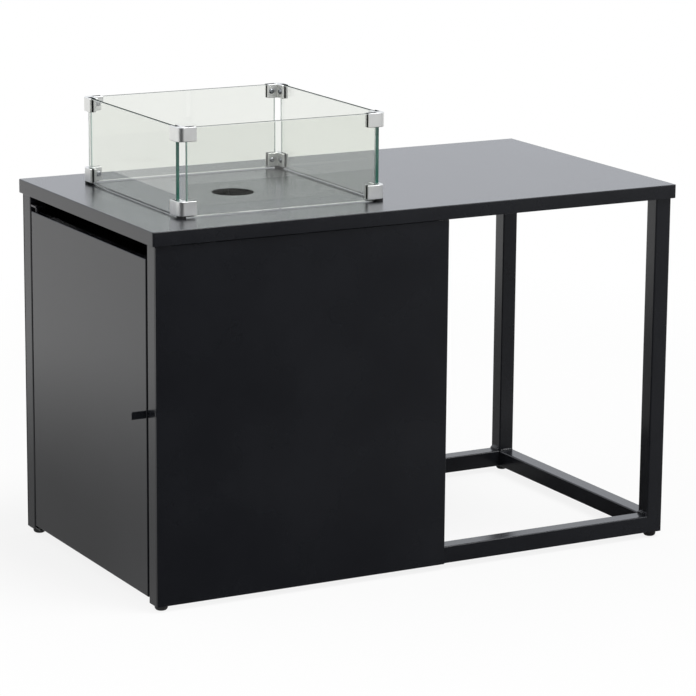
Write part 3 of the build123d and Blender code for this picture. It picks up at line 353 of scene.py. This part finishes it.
SLOT_MATERIALS = {
    "black_steel": paint,
    "zinc_steel": zinc,
    "stainless_steel": stainless,
    "clamp_metal": clamp_metal,
    "brass": brass,
    "pipe_aluminium": pipe_metal,
    "clear_glass": glass,
    "black_rubber": rubber,
    "black_plastic": plastic,
    "button_plastic": button_plastic,
    "ceramic": ceramic,
}
NODE_MATERIALS = {
    "table_top": top_paint,
    "burner_lid": top_paint,
    "burner_ring": ring_steel(),
}


def dress_nodes():
    """Gives every CAD node its own material, or the one of its slot."""
    slots = {part["node"]: part["material_slot"] for part in frame["record"]["subparts"]}
    for name, node in nodes.items():
        node.data.materials.clear()
        node.data.materials.append(NODE_MATERIALS.get(name, SLOT_MATERIALS[slots[name]]))


FLAT_FACE = 0.9
SEAM_TILT = 0.3
# The axis that each pane's large faces look along.
PANE_AXES = {"front": 1, "rear": 1, "left": 0, "right": 0}
# Finishes of a pane's faces; the ends that don't face the front carry a painted highlight, the top a painted
# dark reflection.
CLEAR_FACE, FRONT_END, HIGHLIGHT_END, PAINTED_DARK_TOP, TOP_SEAM = range(5)
PANE_EDGES = (glass_end, glass_end_painted_highlight, glass_top_painted_reflection, glass_seam)


def pane_face(normal, axis):
    """Which finish a face of a pane has, by the way it looks."""
    if abs(normal[axis]) > FLAT_FACE or normal.z < -SEAM_TILT:
        return CLEAR_FACE
    if normal.z < SEAM_TILT:
        return FRONT_END if normal.y < -SEAM_TILT else HIGHLIGHT_END
    return PAINTED_DARK_TOP if normal.z > FLAT_FACE else TOP_SEAM


def dress_panes():
    """Gives each pane its green front ends, a painted highlight on its other ends, a painted dark reflection
    along its top and pale ground seams; the panes let light through to the table.
    """
    for side, axis in PANE_AXES.items():
        pane = nodes[f"glass_{side}"]
        for mat in PANE_EDGES:
            pane.data.materials.append(mat)
        for face in pane.data.polygons:
            face.material_index = pane_face(face.normal, axis)
        pane.visible_shadow = False


def dress_top():
    """Gives the folded lip of the table top the paint of the frame; its upper face keeps the satin one."""
    top = nodes["table_top"].data
    top.materials.append(paint)
    for face in top.polygons:
        face.material_index = 0 if face.normal.z > FLAT_FACE else 1


# Forms for the pieces built here
SMOOTH_ANGLE = 30.0


def mesh_piece(name, build, mat, body):
    """A new mesh piece that rides on a body and takes the given material."""
    mesh = bpy.data.meshes.new(name)
    work = bmesh.new()
    build(work)
    bmesh.ops.recalc_face_normals(work, faces=work.faces)
    work.to_mesh(mesh)
    work.free()
    piece = bpy.data.objects.new(name, mesh)
    bpy.context.scene.collection.objects.link(piece)
    mesh.materials.append(mat)
    for face in mesh.polygons:
        face.use_smooth = True
    mesh.set_sharp_from_angle(angle=math.radians(SMOOTH_ANGLE))
    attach(piece, body)
    return piece


def bridge(work, lower, upper):
    """A band of faces between two rings of the same count."""
    count = len(lower)
    for index in range(count):
        after = (index + 1) % count
        work.faces.new((lower[index], lower[after], upper[after], upper[index]))


def stack(work, rings):
    """A closed form through rings of points, capped at both ends."""
    made = [[work.verts.new(point) for point in ring] for ring in rings]
    for lower, upper in zip(made, made[1:]):
        bridge(work, lower, upper)
    work.faces.new(made[0])
    work.faces.new(made[-1])


def frame_of(direction):
    """A rotation that turns +Z to a direction."""
    return Z_AXIS.rotation_difference(Vector(direction)).to_matrix().to_4x4()


def turned(work, place, direction, profile, segments):
    """A closed turned form: the profile has (radius or function of the angle, height) pairs."""
    matrix = Matrix.Translation(place) @ frame_of(direction)
    rings = []
    for radius, height in profile:
        ring = []
        for index in range(segments):
            angle = math.tau * index / segments
            reach = radius(angle) if callable(radius) else radius
            ring.append(matrix @ Vector((reach * math.cos(angle), reach * math.sin(angle), height)))
        rings.append(ring)
    stack(work, rings)


def hex_outline(flats):
    """The radius of a hexagon's outline at an angle."""
    def reach(angle):
        return flats / 2 / math.cos((angle % (math.pi / 3)) - math.pi / 6)
    return reach


def fluted(radius, depth, count):
    """The radius of a fluted outline at an angle."""
    def reach(angle):
        return radius - depth * (0.5 - 0.5 * math.cos(count * angle))
    return reach


BAR_END_STEPS = 8


def rounded_bar(work, start, end, width, normal, height, ease):
    """A flat bar with round ends that lies on a face, its upper edge eased."""
    along = (end - start).normalized()
    side = normal.cross(along)
    rings = []
    for inset, level in ((0.0, 0.0), (0.0, height - ease), (ease, height)):
        ring = []
        for centre, first in ((end, -90.0), (start, 90.0)):
            for index in range(BAR_END_STEPS + 1):
                angle = math.radians(first + 180.0 * index / BAR_END_STEPS)
                spread = along * math.cos(angle) + side * math.sin(angle)
                ring.append(centre + spread * (width / 2 - inset) + normal * level)
        rings.append(ring)
    stack(work, rings)


BEAD_STEPS = 6
BEAD_CORNERS = 12
BEAD_END = 0.04
BEAD_TAPER = 0.25
RIPPLE_HEIGHT = 0.04
RIPPLE_LAG = 0.35


def weld_bead(work, start, end, radius, rise, ripples):
    """A rippled weld bead along a level joint; rise is its height for a width of 1."""
    start = Vector(start)
    along = Vector(end) - start
    turn = frame_of(along.normalized())
    steps = ripples * BEAD_STEPS
    rings = []
    for index in range(steps + 1):
        share = index / steps
        taper = math.sin(math.pi * min(max(share, BEAD_END), 1.0 - BEAD_END)) ** BEAD_TAPER
        ripple = 1.0 + RIPPLE_HEIGHT * math.cos(math.tau * share * ripples)
        reach = radius * taper * ripple
        ring = []
        for corner in range(BEAD_CORNERS):
            angle = math.tau * corner / BEAD_CORNERS
            lag = RIPPLE_LAG * radius * math.cos(2 * angle)
            offset = turn @ Vector((reach * math.cos(angle), reach * math.sin(angle), lag))
            offset.z *= rise
            ring.append(start + along * share + offset)
        rings.append(ring)
    stack(work, rings)


FILL_STEPS = 6


def seam_fill(work, corner, along, inward, radius, low, high):
    """Ground-flush weld metal in the groove between a rail's end and a post's rounded edge."""
    corner = Vector(corner)
    along = Vector(along)
    inward = Vector(inward)
    middle = corner + (along + inward) * radius
    outline = [corner]
    for index in range(FILL_STEPS + 1):
        angle = math.pi / 2 * index / FILL_STEPS
        outline.append(middle - inward * radius * math.cos(angle) - along * radius * math.sin(angle))
    stack(work, [[point + Z_AXIS * level for point in outline] for level in (low, high)])


# Screws with sockets
SCREW_SEGMENTS = 36
# Shares of the shank's radius.
TIP_RADIUS = 0.85
TIP_EASE = 0.15
# Shares of the head's radius and height, from its seat to the socket's mouth.
HEAD_DOME = ((1.0, 0.0), (1.0, 0.30), (0.93, 0.58), (0.78, 0.82), (0.58, 0.97))
# Shares of the head's height.
SOCKET_EASE = 0.10
SOCKET_DEPTH = 0.55
SOCKET_CONE = 0.08
# Shares of the width across the socket's flats.
SOCKET_MOUTH = 1.10
SOCKET_POINT = 0.12


def socket_screw(work, place, direction, radius, head_radius, head, length, flats):
    """A round-headed screw with a hexagon socket, its shank running back along the direction."""
    socket = hex_outline(flats)
    bottom = head - SOCKET_DEPTH * head
    profile = [(radius * TIP_RADIUS, -length), (radius, -length + TIP_EASE * radius), (radius, 0.0)]
    profile += [(head_radius * reach, head * level) for reach, level in HEAD_DOME]
    profile += [(hex_outline(flats * SOCKET_MOUTH), head), (socket, head - SOCKET_EASE * head)]
    profile += [(socket, bottom), (flats * SOCKET_POINT, bottom - SOCKET_CONE * head)]
    turned(work, place, direction, profile, SCREW_SEGMENTS)


SAME_POINT = 0.001 * MM
RIM_SHARE = 0.8


def solids_of(node):
    """The points of each separate solid of a CAD node."""
    work = bmesh.new()
    work.from_mesh(nodes[node].data)
    bmesh.ops.remove_doubles(work, verts=work.verts, dist=SAME_POINT)
    work.verts.index_update()
    seen = set()
    solids = []
    for first in work.verts:
        if first.index in seen:
            continue
        seen.add(first.index)
        reached = [first]
        for vert in reached:
            for other in (edge.other_vert(vert) for edge in vert.link_edges):
                if other.index not in seen:
                    seen.add(other.index)
                    reached.append(other)
        solids.append([vert.co.copy() for vert in reached])
    work.free()
    return solids


def screw_sizes(points):
    """A CAD screw's seat, the way its head faces, and its radius, head radius, head height and length."""
    low = Vector(min(values) for values in zip(*points))
    high = Vector(max(values) for values in zip(*points))
    middle = (low + high) / 2
    size = high - low
    # A screw is as wide as it is deep, so its axis is the one left over.
    axis = min(range(3), key=lambda index: abs(size[index - 1] - size[index - 2]))
    direction = Vector((0.0, 0.0, 0.0))
    direction[axis] = 1.0
    spans = [((point - middle).cross(direction).length, (point - middle).dot(direction)) for point in points]
    head_radius = max(reach for reach, level in spans)
    rim = [level for reach, level in spans if reach > RIM_SHARE * head_radius]
    if sum(rim) < 0.0:
        direction = -direction
        rim = [-level for level in rim]
        spans = [(reach, -level) for reach, level in spans]
    seat = min(rim)
    head = size[axis] / 2 - seat
    length = size[axis] / 2 + seat
    radius = max(reach for reach, level in spans if level < seat - length / 2)
    return middle + direction * seat, direction, radius, head_radius, head, length


def socket_screws(name, node, mat, body, flats):
    """Screws with hexagon sockets in place of a CAD node's plain ones."""
    def build(work):
        for points in solids_of(node):
            socket_screw(work, *screw_sizes(points), flats)
    piece = mesh_piece(name, build, mat, body)
    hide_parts(node)


CLAMP_SCREW_SOCKET = 4.0 * MM
PANEL_SCREW_SOCKET = 3.0 * MM
CONTROL_SCREW_SOCKET = 2.5 * MM


def all_screws():
    """The screws of the clamps, the panels and the control plate."""
    socket_screws(
        "clamp_socket_screws", "clamp_screws", screw_steel, "guard", CLAMP_SCREW_SOCKET)
    socket_screws("panel_socket_screws", "panel_screws", zinc, "frame", PANEL_SCREW_SOCKET)
    socket_screws(
        "control_socket_screws", "control_screws", zinc, "frame", CONTROL_SCREW_SOCKET)


# Knob and dial
knob_low, knob_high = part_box("control_knob")
KNOB_FOOT = Vector((knob_low.x, (knob_low.y + knob_high.y) / 2, (knob_low.z + knob_high.z) / 2))
KNOB_SKIRT_RADIUS = (knob_high.y - knob_low.y) / 2
KNOB_GRIP_RADIUS = 17.0 * MM
KNOB_FLUTE = 1.1 * MM
KNOB_FLUTES = 16
KNOB_FLUTE_STEPS = 12
KNOB_FACE = 18.0 * MM
# Millimetres from the skirt's radius, and above its foot.
SKIRT_PROFILE = ((-0.8, 0.0), (0.0, 0.8), (0.0, 2.6), (-0.5, 3.6), (-1.6, 4.0))
GRIP_ROOT_REACH = 0.4 * MM
GRIP_ROOT = 4.2 * MM
GRIP_START = 5.2 * MM
GRIP_END = 16.4 * MM
SHOULDER_INSET = 0.9 * MM
SHOULDER_LEVEL = 17.5 * MM
# Millimetres from the grip's radius, and above its face.
FACE_PROFILE = ((-2.2, 0.0), (-3.4, -0.1), (-5.0, -0.6))
POINTER_ROOT = 3.0 * MM
POINTER_TIP = 13.2 * MM
POINTER_WIDTH = 4.0 * MM
POINTER_PROUD = 3.0 * MM
POINTER_EASE = 0.5 * MM


def knob():
    """The knob with a fluted grip, a dished face and a pale pointer that points up when the gas is off."""
    def build(work):
        grip = fluted(KNOB_GRIP_RADIUS, KNOB_FLUTE, KNOB_FLUTES)
        shoulder = fluted(KNOB_GRIP_RADIUS - SHOULDER_INSET, KNOB_FLUTE / 2, KNOB_FLUTES)
        profile = [(KNOB_SKIRT_RADIUS + reach * MM, level * MM) for reach, level in SKIRT_PROFILE]
        profile += [(KNOB_GRIP_RADIUS + GRIP_ROOT_REACH, GRIP_ROOT), (grip, GRIP_START), (grip, GRIP_END)]
        profile += [(shoulder, SHOULDER_LEVEL)]
        profile += [(KNOB_GRIP_RADIUS + reach * MM, KNOB_FACE + level * MM) for reach, level in FACE_PROFILE]
        turned(work, KNOB_FOOT, X_AXIS, profile, KNOB_FLUTES * KNOB_FLUTE_STEPS)
    piece = mesh_piece("fluted_knob", build, plastic, "knob")
    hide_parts("control_knob")

    def build_pointer(work):
        base = KNOB_FOOT + X_AXIS * (KNOB_FACE - POINTER_PROUD)
        start = base + Z_AXIS * POINTER_ROOT
        end = base + Z_AXIS * POINTER_TIP
        rounded_bar(work, start, end, POINTER_WIDTH, X_AXIS, 2 * POINTER_PROUD, POINTER_EASE)
    mesh_piece("knob_pointer", build_pointer, mark_paint, "knob")


TICK_INNER = 23.5 * MM
TICK_STEP = 22.5
TICK_COUNT = 9
TICK_SHORT = 2.0 * MM
TICK_GROWTH = 0.35 * MM
TICK_WIDTH = 1.1 * MM
TICK_PROUD = 0.15 * MM
TICK_EASE = 0.05 * MM


def dial_ticks():
    """Raised ticks round the knob, longer towards the full flame."""
    plate_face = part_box("control_plate")[1].x

    def build(work):
        centre = Vector((plate_face, KNOB_FOOT.y, KNOB_FOOT.z))
        for index in range(TICK_COUNT):
            angle = math.radians(index * TICK_STEP)
            spoke = Vector((0.0, -math.sin(angle), math.cos(angle)))
            start = centre + spoke * TICK_INNER
            end = centre + spoke * (TICK_INNER + TICK_SHORT + index * TICK_GROWTH)
            rounded_bar(work, start, end, TICK_WIDTH, X_AXIS, TICK_PROUD, TICK_EASE)
    mesh_piece("dial_ticks", build, plastic, "frame")


# Welds
WELD_RADIUS = 4.4 * MM
WELD_RISE = 1.9
LOW_WELD_RISE = 0.9
WELD_INSET = 2.5 * MM
WELD_RIPPLES = 6
POST_EDGE_RADIUS = 2.5 * MM
FILL_INSET = 2.0 * MM


def frame_welds():
    """Weld beads on the bottom rails' upper ends, and flush weld metal in their outer seams."""
    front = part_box("rail_bottom_front")
    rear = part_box("rail_bottom_rear")
    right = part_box("rail_bottom_right")
    top = front[1].z
    low = front[0].z + FILL_INSET
    high = top - FILL_INSET
    inner_x = right[0].x
    outer_x = right[1].x

    def build(work):
        for rail in (front, rear):
            start, end = rail[0].y + WELD_INSET, rail[1].y - WELD_INSET
            for x in (rail[0].x, rail[1].x):
                weld_bead(work, (x, start, top), (x, end, top), WELD_RADIUS, WELD_RISE, WELD_RIPPLES)
        start, end = inner_x + WELD_INSET, outer_x - WELD_INSET
        for y in (right[0].y, right[1].y):
            weld_bead(work, (start, y, top), (end, y, top), WELD_RADIUS, LOW_WELD_RISE, WELD_RIPPLES)
        fills = [
            ((inner_x, front[0].y, 0), (1, 0, 0), (0, 1, 0)),
            ((inner_x, rear[1].y, 0), (1, 0, 0), (0, -1, 0)),
            ((outer_x, right[0].y, 0), (0, -1, 0), (-1, 0, 0)),
            ((outer_x, right[1].y, 0), (0, 1, 0), (-1, 0, 0)),
        ]
        for corner, along, inward in fills:
            seam_fill(work, corner, along, inward, POST_EDGE_RADIUS, low, high)
    mesh_piece("frame_welds", build, paint, "frame")


# Stage, light and camera
def direct_rays(tree, path):
    """1 for rays that show the background directly or through glass: camera and transmission rays."""
    return math_node(tree, "MAXIMUM", path.outputs["Is Camera Ray"], path.outputs["Is Transmission Ray"])


def stage_object(name, corners, faces, mat):
    """A flat-sided stage piece, which is no part of the table."""
    mesh = bpy.data.meshes.new(name)
    mesh.from_pydata(corners, [], faces)
    mesh.materials.append(mat)
    piece = bpy.data.objects.new(name, mesh)
    bpy.context.scene.collection.objects.link(piece)
    return piece


FLOOR_REACH = 60.0
FLOOR_LEVEL = -0.0004
FLOOR_COLOUR = (0.93, 0.93, 0.93, 1.0)
# Painted shade in the floor as mirrored: grey round this centre, and darker still round the one under the
# table.
GREY_CENTRE = (0.35, 0.55, 0.0)
GREY_NEAR = 1.0
GREY_FAR = 1.75
NEAR_WHITE = 0.86
NEAR_PAINTED_SHADE = 0.36
UNDER_CENTRE = (0.25, -0.05, 0.0)
UNDER_NEAR = 0.25
UNDER_FAR = 0.50
UNDER_PAINTED_SHADE = 0.15


def reach_from(tree, origin):
    """The distance from an origin, in metres."""
    return vector_length(tree, place_coords(tree, origin=origin))


def floor_material():
    """A pale floor: white far away and keeping the table's shadow; in reflections it shows painted shade,
    grey near the table and darkest underneath.
    """
    mat, tree, out = empty_material("floor_white")
    lit = tree.nodes.new("ShaderNodeBsdfDiffuse")
    lit.inputs["Color"].default_value = FLOOR_COLOUR
    far = between(tree, reach_from(tree, GREY_CENTRE), 0.0, 1.0, GREY_NEAR, GREY_FAR)
    under = between(tree, reach_from(tree, UNDER_CENTRE), UNDER_PAINTED_SHADE, 1.0, UNDER_NEAR, UNDER_FAR)
    path = tree.nodes.new("ShaderNodeLightPath")
    gloss = path.outputs["Is Glossy Ray"]
    white = between(tree, far, NEAR_WHITE, 1.0, 0.0, 1.0)
    share = math_node(tree, "MULTIPLY", direct_rays(tree, path), white)
    # Painted shade: the floor's mirrored brightness, lowered near the table and under it.
    strength = math_node(tree, "MULTIPLY", under, between(tree, far, NEAR_PAINTED_SHADE, 1.0, 0.0, 1.0))
    grey = math_node(tree, "MULTIPLY", gloss, math_node(tree, "SUBTRACT", 1.0, strength))
    glow = tree.nodes.new("ShaderNodeEmission")
    tree.links.new(math_node(tree, "SUBTRACT", 1.0, grey), glow.inputs["Strength"])
    mix = tree.nodes.new("ShaderNodeMixShader")
    tree.links.new(math_node(tree, "MAXIMUM", share, gloss), mix.inputs[0])
    tree.links.new(lit.outputs["BSDF"], mix.inputs[1])
    tree.links.new(glow.outputs["Emission"], mix.inputs[2])
    tree.links.new(mix.outputs["Shader"], out.inputs["Surface"])
    return mat


CARD_LEFT = -1.9
CARD_STEP = -0.35
CARD_RIGHT = 2.4
CARD_BACK = -0.29
CARD_FRONT = -0.90
CARD_TALL = 1.0
CARD_LOW = 0.55
CARD_LEVEL = 0.001
CARD_FADE = (-0.2, 0.9)
CARD_GLOW = 0.20


def card_material():
    """Black card that turns to dark grey towards its right end."""
    mat, tree, out = empty_material("card_dark")
    x = split_axes(tree, place_coords(tree))[0]
    glow = tree.nodes.new("ShaderNodeEmission")
    tree.links.new(between(tree, x, 0.0, CARD_GLOW, *CARD_FADE), glow.inputs["Strength"])
    tree.links.new(glow.outputs["Emission"], out.inputs["Surface"])
    return mat


def stage_floor():
    """The wide floor, just below the feet."""
    sides = (-FLOOR_REACH, FLOOR_REACH)
    corners = [(x, y, FLOOR_LEVEL) for x in sides for y in sides]
    stage_object("floor", corners, [(0, 2, 3, 1)], floor_material())


def dark_card():
    """A card on the floor and upright in front of the table, tall at its left, that only gloss sees."""
    corners = [
        (CARD_LEFT, CARD_BACK, CARD_LEVEL),
        (CARD_RIGHT, CARD_BACK, CARD_LEVEL),
        (CARD_RIGHT, CARD_FRONT, CARD_LEVEL),
        (CARD_LEFT, CARD_FRONT, CARD_LEVEL),
        (CARD_STEP, CARD_FRONT, CARD_LEVEL),
        (CARD_RIGHT, CARD_FRONT, CARD_LOW),
        (CARD_STEP, CARD_FRONT, CARD_LOW),
        (CARD_STEP, CARD_FRONT, CARD_TALL),
        (CARD_LEFT, CARD_FRONT, CARD_TALL),
    ]
    flat, right, left = (0, 1, 2, 4, 3), (4, 2, 5, 6), (3, 4, 6, 7, 8)
    card = stage_object("dark_card", corners, [flat, right, left], card_material())
    card.visible_camera = False
    card.visible_diffuse = False
    card.visible_transmission = False
    card.visible_shadow = False


WORLD_SOFT = 0.45
WHITE = (1.0, 1.0, 1.0, 1.0)
COOL_WHITE = (0.97, 1.0, 1.06, 1.0)


def world_light():
    """A white background and soft light from all round, a little cool where it is mirrored."""
    world = bpy.data.worlds.new("studio")
    bpy.context.scene.world = world
    world.use_nodes = True
    tree = world.node_tree
    tree.nodes.clear()
    out = tree.nodes.new("ShaderNodeOutputWorld")
    sky = tree.nodes.new("ShaderNodeBackground")
    path = tree.nodes.new("ShaderNodeLightPath")
    seen = math_node(tree, "MAXIMUM", direct_rays(tree, path), path.outputs["Is Glossy Ray"])
    tree.links.new(between(tree, seen, WORLD_SOFT, 1.0, 0.0, 1.0), sky.inputs["Strength"])
    mirrored = math_node(tree, "MINIMUM", path.outputs["Glossy Depth"], 1.0)
    tree.links.new(mix_colours(tree, mirrored, WHITE, COOL_WHITE), sky.inputs["Color"])
    tree.links.new(sky.outputs["Background"], out.inputs["Surface"])


KEY_DIRECTION = (-0.30, 0.35, -1.0)
KEY_STRENGTH = 1.8
KEY_ANGLE = 28.0


def key_light():
    """A soft sun from above, the front and the right."""
    lamp = bpy.data.lights.new("key_light", "SUN")
    lamp.energy = KEY_STRENGTH
    lamp.angle = math.radians(KEY_ANGLE)
    holder = bpy.data.objects.new("key_light", lamp)
    holder.rotation_mode = "QUATERNION"
    holder.rotation_quaternion = Vector(KEY_DIRECTION).to_track_quat("-Z", "Y")
    bpy.context.scene.collection.objects.link(holder)


CAMERA_AZIMUTH = -28.50
CAMERA_ELEVATION = 13.02
CAMERA_ROLL = 0.447
CAMERA_PLACE = (-2.5933, -4.8017, 1.6017)
CAMERA_LENS = 165.2
CAMERA_SENSOR = 36.0
CAMERA_CLIP = 200.0


def camera():
    """The camera at the photograph's angle."""
    data = bpy.data.cameras.new("camera")
    data.sensor_width = CAMERA_SENSOR
    data.lens = CAMERA_LENS
    data.clip_end = CAMERA_CLIP
    eye = bpy.data.objects.new("camera", data)
    azimuth = math.radians(CAMERA_AZIMUTH)
    elevation = math.radians(CAMERA_ELEVATION)
    level = math.cos(elevation)
    back = Vector((math.sin(azimuth) * level, -math.cos(azimuth) * level, math.sin(elevation)))
    right = Vector((math.cos(azimuth), math.sin(azimuth), 0.0))
    turn = Matrix((right, back.cross(right), back)).transposed()
    roll = Matrix.Rotation(math.radians(CAMERA_ROLL), 3, "Z")
    eye.matrix_world = Matrix.Translation(CAMERA_PLACE) @ (turn @ roll).to_4x4()
    bpy.context.scene.collection.objects.link(eye)
    bpy.context.scene.camera = eye


dress_nodes()
dress_panes()
dress_top()
all_screws()
knob()
dial_ticks()
frame_welds()
stage_floor()
dark_card()
world_light()
key_light()
camera()
bpy.context.scene.view_settings.view_transform = "Standard"
